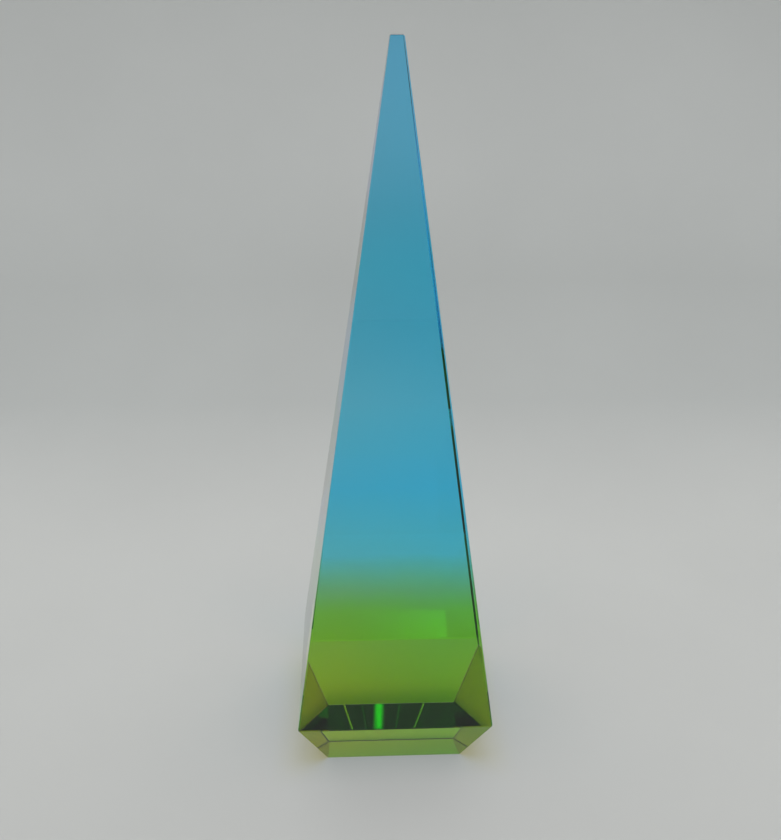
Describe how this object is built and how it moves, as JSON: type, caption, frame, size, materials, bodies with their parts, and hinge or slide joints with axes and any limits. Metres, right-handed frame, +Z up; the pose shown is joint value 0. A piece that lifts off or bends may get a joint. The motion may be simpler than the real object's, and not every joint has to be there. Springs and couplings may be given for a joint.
{
  "type": "crystal award",
  "caption": "Tapering crystal obelisk award on an undercut foot, with a blue to green colour coating behind clear glass.",
  "frame": {"origin": "centre of the flat resting face", "axes": "+Z up the shaft, -Y towards the clear front facet"},
  "size_m": [0.0662, 0.0661, 0.238],
  "materials": {
    "optical_crystal": "polished clear optical crystal",
    "shaft_coating": "transparent coating, blue above and green below",
    "rear_foot_coating": "transparent olive green coating",
    "side_foot_coating": "transparent amber coating"
  },
  "bodies": {
    "root": {"crystal_body": "optical_crystal", "rear_colour_film": "shaft_coating", "rear_foot_film": "rear_foot_coating", "left_foot_film": "side_foot_coating", "right_foot_film": "side_foot_coating"}
  },
  "joints": []
}
